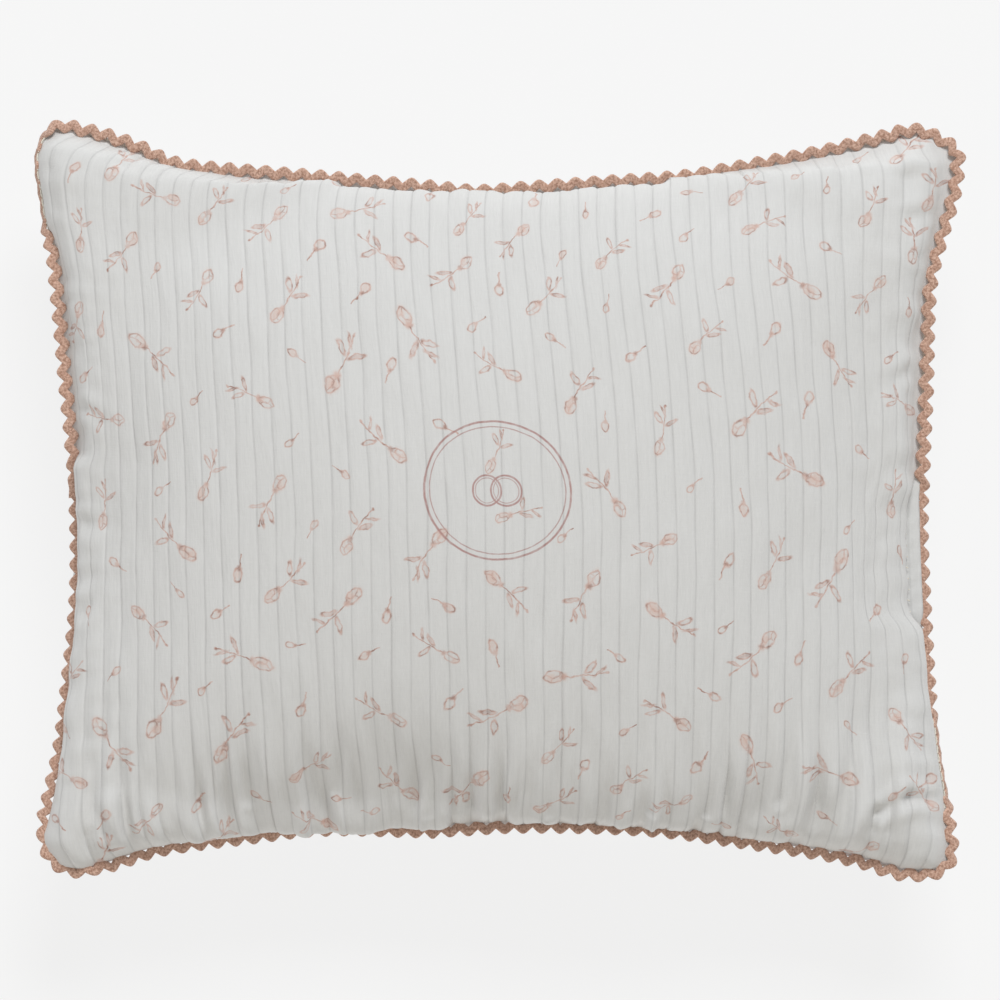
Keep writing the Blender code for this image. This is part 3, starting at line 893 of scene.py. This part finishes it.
def stuffing():
    """The fill: one closed lumpy body inside the case."""
    top = shell(front_coarse, FILL_SHARE)
    low = shell(back_coarse, FILL_SHARE)
    u, v = np.linspace(0, 1, top.shape[0]), np.linspace(0, 1, top.shape[1])
    edge = (1 - (2 * u[:, None] - 1) ** 8) * (1 - (2 * v[None, :] - 1) ** 8)
    lumps = (0.5 * soft_noise(u, v, 14, 12, 201) + 0.3 * soft_noise(u, v, 40, 34, 202)) * edge * MM
    top[..., 2] += lumps - 0.8 * MM * edge
    low[..., 2] += lumps + 0.8 * MM * edge
    inner, faces = welded(top.shape[:2])[2:]
    return build("stuffing", np.concatenate([top.reshape(-1, 3), low[inner]]), faces)


fill = stuffing()


# --- materials
class Tree:
    """Short names for shader nodes. Every input may be a number, a tuple or another node's output."""

    def __init__(self, name, looks):
        self.material = bpy.data.materials.new(name)
        self.material.use_nodes = True
        self.nodes = self.material.node_tree.nodes
        self.links = self.material.node_tree.links
        self.inputs = self.nodes["Principled BSDF"].inputs
        for key, value in {"Specular IOR Level": 0.25, **looks}.items():
            self.put(self.inputs[key], value)

    def put(self, socket, value):
        if isinstance(value, bpy.types.NodeSocket):
            self.links.new(value, socket)
        elif isinstance(value, tuple) and len(value) == 3 and len(socket.default_value) == 4:
            socket.default_value = (*value, 1)
        else:
            socket.default_value = value

    def node(self, kind, values=(), **settings):
        """A new node with these settings and inputs, by name or in order. Gives its outputs."""
        node = self.nodes.new("ShaderNode" + kind)
        for key, value in settings.items():
            setattr(node, key, value)
        for key, value in values.items() if isinstance(values, dict) else enumerate(values):
            self.put(node.inputs[key], value)
        return node.outputs

    def math(self, operation, *values):
        return self.node("Math", values, operation=operation)[0]

    def chain(self, operation, first, *more):
        for value in more:
            first = self.math(operation, first, value)
        return first

    def times(self, *values):
        return self.chain("MULTIPLY", *values)

    def plus(self, *values):
        return self.chain("ADD", *values)

    def most(self, *values):
        return self.chain("MAXIMUM", *values)

    def minus(self, first, second):
        return self.math("SUBTRACT", first, second)

    def scaled(self, value, by, plus):
        return self.math("MULTIPLY_ADD", value, by, plus)

    def either(self, flag, yes, no):
        return self.plus(self.times(no, self.minus(1.0, flag)), self.times(yes, flag))

    def wave(self, value, pitch):
        return self.math("SINE", self.times(value, 2 * math.pi / pitch))

    def vector(self, operation, *values):
        return self.node("VectorMath", values, operation=operation)[0]

    def placed(self, where, scale, shift):
        return self.vector("MULTIPLY_ADD", where, scale, shift)

    def uv(self, name):
        return self.node("UVMap", uv_map=name)[0]

    def object_mm(self):
        return self.vector("MULTIPLY", self.node("TexCoord")["Object"], (1 / MM, 1 / MM, 1 / MM))

    def split(self, value):
        return self.node("SeparateXYZ", (value,))[:2]

    def noise(self, where, scale=1.0, detail=2.0, rough=0.5, output=0):
        values = {"Vector": where, "Scale": scale, "Detail": detail, "Roughness": rough}
        return self.node("TexNoise", values)[output]

    def grain(self, where, stretch, detail=2.0, rough=0.5):
        """Noise drawn out along the axes."""
        return self.noise(self.vector("MULTIPLY", where, stretch), 1.0, detail, rough)

    def step(self, value, low, high, out_low=0.0, out_high=1.0):
        values = {"Value": value, "From Min": low, "From Max": high, "To Min": out_low, "To Max": out_high}
        return self.node("MapRange", values, interpolation_type="SMOOTHSTEP")[0]

    def mix(self, share, first, second, blend="MIX"):
        return self.node("Mix", {0: share, 6: first, 7: second}, data_type="RGBA", blend_type=blend)[2]

    def oval(self, where, x, y, rx, ry, turn=0.0):
        """Distance in mm from an oval's line, below 0 inside."""
        values = {"Vector": where, "Location": (x, y, 0), "Rotation": (0, 0, math.radians(turn)),
                  "Scale": (rx, ry, 1)}
        place = self.node("Mapping", values, vector_type="TEXTURE")[0]
        size = self.node("VectorMath", (place,), operation="LENGTH")[1]
        return self.scaled(size, min(rx, ry), -min(rx, ry))

    def stroke(self, distance, half, soft=0.16):
        return self.step(self.math("ABSOLUTE", distance), half - soft, half + soft, 1.0, 0.0)

    def inside(self, distance, soft=0.25):
        return self.step(distance, -soft, soft, 1.0, 0.0)

    def finish(self, colour, height=None, strength=0.0, distance=0.0):
        self.put(self.inputs["Base Color"], colour)
        if height is not None:
            values = {"Strength": strength, "Distance": distance, "Height": height}
            self.put(self.inputs["Normal"], self.node("Bump", values)[0])
        return self.material


MEDALLION = (0.3, 2.3)


def muslin():
    t = Tree("printed_muslin", {"Roughness": 0.88, "Sheen Weight": 0.12, "Sheen Roughness": 0.6})
    flat = t.placed(t.uv("flat"), (CLOTH_SPAN, CLOTH_SPAN, 0.0), (-CLOTH_SPAN / 2, -CLOTH_SPAN / 2, 0.0))

    # Cloth: slubs along the warp and the weft, faint stripes of closer warp, and painted shade along the
    # tucks' stitched lines.
    slub_v = t.grain(flat, (3.6, 0.22, 0.0))
    slub_h = t.grain(flat, (0.25, 3.4, 0.0))
    stripe = t.grain(flat, (1.15, 0.035, 0.0), 1.0)
    cloud = t.noise(flat, 0.03)
    phase = t.math("DIVIDE", t.minus(t.split(flat)[0], TUCK_START / MM), TUCK_PITCH / MM)
    off = t.times(t.minus(phase, t.math("ROUND", phase)), TUCK_PITCH / MM)
    # Painted shade: the tucks' stitched lines are darkened unevenly along them, standing in for the shade in
    # their grooves.
    line = t.times(t.stroke(off, 0.22, 0.2), t.step(t.grain(flat, (0.19, 0.09, 0.0)), 0.2, 0.75, 0.35, 1.0))
    tone = t.times(t.scaled(slub_v, 0.10, 0.95), t.scaled(slub_h, 0.05, 0.975), t.scaled(stripe, 0.07, 0.965),
                   t.scaled(line, -0.17, 1.0))
    base = t.mix(cloud, (0.662, 0.659, 0.648), (0.690, 0.688, 0.680))
    base = t.mix(1.0, base, t.node("CombineXYZ", (tone, tone, tone))[0], "MULTIPLY")

    # Ink: motif coordinates in mm, wandering a little as a wet brush does.
    wander = t.vector("SUBTRACT", t.noise(flat, 0.42, output=1), (0.5, 0.5, 0.5))
    local = t.placed(t.uv("motif"), (MOTIF_SPAN, MOTIF_SPAN, 0.0), (-MOTIF_SPAN / 2, -MOTIF_SPAN / 2, 0.0))
    local = t.placed(wander, (1.5, 1.5, 0.0), local)
    lx, ly = t.split(local)
    kind = t.split(t.uv("kind"))[0]
    is_any, is_second, is_bud = (t.math("GREATER_THAN", kind, least) for least in (0.05, 0.25, 0.5))

    def stem(curve, start, end, half):
        """A curved stroke from start to end along the motif."""
        bend = t.times(t.math("POWER", t.minus(ly, start), 2.0), curve)
        gap = t.most(t.math("ABSOLUTE", t.minus(lx, bend)), t.minus(start, ly), t.minus(ly, end))
        return t.step(gap, half - 0.14, half + 0.14, 1.0, 0.0)

    # A sprig: a bloom with two petal lines, a calyx, a stem, and leaves that are different in its two kinds.
    bloom = t.most(t.oval(local, 0.5, -0.1, 2.0, 2.5, -4), t.oval(local, -0.5, -0.1, 2.0, 2.5, 6))
    petal = t.stroke(t.oval(local, 1.0, -0.7, 1.15, 2.0, 14), 0.1, 0.18)
    fold = t.stroke(t.oval(local, -1.3, 0.9, 1.2, 1.9, 30), 0.1, 0.18)
    calyx = t.oval(local, 0.0, 2.3, 0.8, 0.8)
    strokes = [t.stroke(bloom, 0.15, 0.22), t.times(t.most(petal, t.times(fold, 0.7)), t.inside(bloom, 0.1)),
               stem(0.012, 2.6, 12.6, 0.16), t.times(t.inside(calyx, 0.4), 0.7)]
    first, second = [], []
    for x, y, rx, ry, turn, fill, group in (
            (2.4, 8.6, 0.62, 1.8, -50, 0.15, first), (-1.8, 8.3, 0.5, 1.8, 46, 0.5, first),
            (1.4, 10.9, 0.26, 1.2, -40, 0.5, first), (1.8, 7.2, 0.52, 1.7, -36, 0.5, second),
            (-2.1, 7.6, 0.64, 1.8, 58, 0.15, second), (2.3, 10.2, 0.28, 1.2, -62, 0.5, second)):
        leaf = t.oval(local, x, y, rx, ry, turn)
        group.append(t.most(t.stroke(leaf, 0.15, 0.2), t.times(t.inside(leaf, 0.4), fill)))
    leaves = t.either(is_second, t.most(*second), t.most(*first))
    tip = t.inside(t.oval(local, 1.2, 12.6, 0.34, 0.5), 0.2)
    sprig_ink = t.most(*strokes, leaves, tip)
    sprig_wash = t.most(t.inside(bloom, 1.0), t.inside(calyx, 0.9))

    # A loose bud.
    ring = t.most(t.oval(local, 0.3, -0.1, 1.3, 1.6), t.oval(local, -0.3, -0.1, 1.3, 1.6))
    cup = t.times(t.inside(t.oval(local, 0.0, 1.45, 0.6, 0.7), 0.35), 0.85)
    bud_ink = t.most(t.stroke(ring, 0.18, 0.22), stem(0.03, 1.6, 4.9, 0.17), cup)
    bud_wash = t.times(t.inside(ring, 0.8), 0.7)

    load = t.noise(flat, 0.5, 3.0)
    pool = t.noise(flat, 0.28, 1.0)
    ink = t.times(t.either(is_bud, bud_ink, sprig_ink), is_any, t.step(load, 0.3, 0.66, 0.5, 1.0))
    wet = t.times(t.either(is_bud, bud_wash, sprig_wash), is_any, t.step(pool, 0.36, 0.64, 0.08, 0.8))

    # The plain medallion in the middle: a double oval line round two linked rings, each of two lines.
    here = t.placed(wander, (0.3, 0.3, 0.0), flat)
    lines = [(0, 19.3, 18.2, 0.26), (0, 17.9, 16.8, 0.13), (-2.6, 4.0, 4.0, 0.24), (-2.6, 3.3, 3.3, 0.1),
             (2.6, 4.0, 4.0, 0.24), (2.6, 3.3, 3.3, 0.1)]
    mx, my = MEDALLION
    badge = t.most(*(t.stroke(t.oval(here, mx + x, my, rx, ry), half) for x, rx, ry, half in lines))
    badge = t.times(badge, t.step(load, 0.2, 0.6, 0.5, 0.9))

    def dyed(colour, share, dye):
        return t.mix(share, colour, t.mix(1.0, base, dye, "MULTIPLY"))

    colour = dyed(base, wet, (1.0, 0.76, 0.68))
    colour = dyed(colour, ink, t.mix(t.step(load, 0.46, 0.7), (0.87, 0.53, 0.44), (0.52, 0.30, 0.25)))
    colour = dyed(colour, badge, (0.62, 0.34, 0.32))

    crinkle = t.grain(flat, (0.75, 0.16, 0.0), 3.0, 0.55)
    threads = t.scaled(stripe, 0.5, t.times(t.plus(slub_v, slub_h), 0.12))
    return t.finish(colour, t.plus(t.times(crinkle, 0.9), threads), 0.55, 0.45 * MM)


def braid_material():
    t = Tree("dusty_pink_braid", {"Roughness": 0.8, "Sheen Weight": 0.25, "Sheen Roughness": 0.5})
    flat = t.placed(t.uv("flat"), (*BRAID_SPAN, 0.0), (0.0, -BRAID_SPAN[1] / 2, 0.0))
    run, wide = t.split(flat)
    # Threads plaited on the slant, both ways.
    way = t.times(t.math("ABSOLUTE", wide), 1.4)
    weave = t.times(t.wave(t.plus(run, way), 0.72), t.wave(t.minus(run, way), 0.72))
    speck = t.noise(flat, 1.5, 3.0, 0.65)
    patchy = t.grain(flat, (0.12, 0.4, 0.0))
    tone = t.scaled(weave, 0.16, t.step(speck, 0.32, 0.68))
    colour = t.mix(tone, (0.43, 0.225, 0.155), (0.88, 0.60, 0.47))
    colour = t.mix(t.step(patchy, 0.35, 0.7, 0.0, 0.3), colour, (0.62, 0.35, 0.25))
    return t.finish(colour, t.scaled(weave, 0.5, speck), 0.8, 0.22 * MM)


def thread_material():
    t = Tree("cream_thread", {"Roughness": 0.5})
    ply = t.noise(t.object_mm(), 2.4)
    return t.finish(t.mix(ply, (0.62, 0.57, 0.48), (0.84, 0.80, 0.72)), ply, 0.5, 0.1 * MM)


def calico_material():
    t = Tree("case_calico", {"Roughness": 0.9})
    flat = t.vector("MULTIPLY", t.uv("flat"), (248.0, 204.0, 0.0))
    across, down = t.split(flat)
    weave = t.times(t.wave(across, 0.6), t.wave(down, 0.6))
    slub = t.grain(flat, (1.6, 0.15, 0.0))
    colour = t.mix(t.scaled(weave, 0.2, slub), (0.70, 0.68, 0.62), (0.86, 0.84, 0.80))
    return t.finish(colour, t.scaled(weave, 0.4, slub), 0.5, 0.15 * MM)


def fibre_material():
    t = Tree("white_fibre", {"Roughness": 0.95})
    where = t.object_mm()
    strand = t.grain(where, (0.9, 0.25, 0.5), 4.0, 0.7)
    tuft = t.noise(where, 0.12, 3.0)
    colour = t.mix(t.times(strand, tuft), (0.74, 0.74, 0.73), (0.92, 0.92, 0.91))
    return t.finish(colour, strand, 0.9, 0.8 * MM)


finishes = {"printed_muslin": muslin(), "dusty_pink_braid": braid_material(),
            "cream_thread": thread_material(), "case_calico": calico_material(),
            "white_fibre": fibre_material()}
PIECES = [(front_panel, "front_panel", "printed_muslin"), (back_panel, "back_panel", "printed_muslin"),
          (ricrac, "ricrac_trim", "dusty_pink_braid"), (seam_thread, "seam_thread", "cream_thread"),
          (closing_thread, "closing_thread", "cream_thread"), (case_front, "inner_case_front", "case_calico"),
          (case_back, "inner_case_back", "case_calico"), (case_thread, "inner_seam_thread", "cream_thread"),
          (fill, "fibre_fill", "white_fibre")]
for piece, node, slot in PIECES:
    piece.data.materials.append(finishes[slot])
    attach(piece, "root")
    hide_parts(node)


# --- floor, light and view
def floor():
    half = 8.0
    corners = [(-half, -half, 0), (half, -half, 0), (half, half, 0), (-half, half, 0)]
    piece = build("floor", corners, [(0, 1, 2, 3)], smooth=False)
    t = Tree("floor", {"Roughness": 0.95, "Specular IOR Level": 0.0, "Emission Color": (1, 1, 1, 1),
                       "Emission Strength": 0.79})
    piece.data.materials.append(t.finish((0.14, 0.14, 0.14)))


floor()


def softbox(name, place, size, power, colour):
    data = bpy.data.lights.new(name, "AREA")
    data.shape = "RECTANGLE"
    data.size, data.size_y = size
    data.energy = power
    data.color = colour
    lamp = bpy.data.objects.new(name, data)
    lamp.location = place
    x, y, z = place
    lamp.rotation_euler = (math.atan2(math.hypot(x, y), z), 0, math.atan2(y, x) + math.pi / 2)
    scene.collection.objects.link(lamp)


softbox("key", (0.35, 1.78, 1.86), (1.1, 0.8), 44.5, (0.975, 0.99, 1.0))
softbox("fill", (0.0, -2.2, 1.0), (2.4, 1.2), 13.0, (1.0, 0.93, 0.8))
softbox("side", (-2.3, 0.1, 0.9), (1.0, 0.8), 5.0, (1.0, 1.0, 1.0))
world = bpy.data.worlds.new("studio")
scene.world = world
world.use_nodes = True
background = world.node_tree.nodes["Background"].inputs
background["Color"].default_value = (1.0, 0.995, 0.98, 1)
background["Strength"].default_value = 0.39
scene.view_settings.view_transform = "Standard"
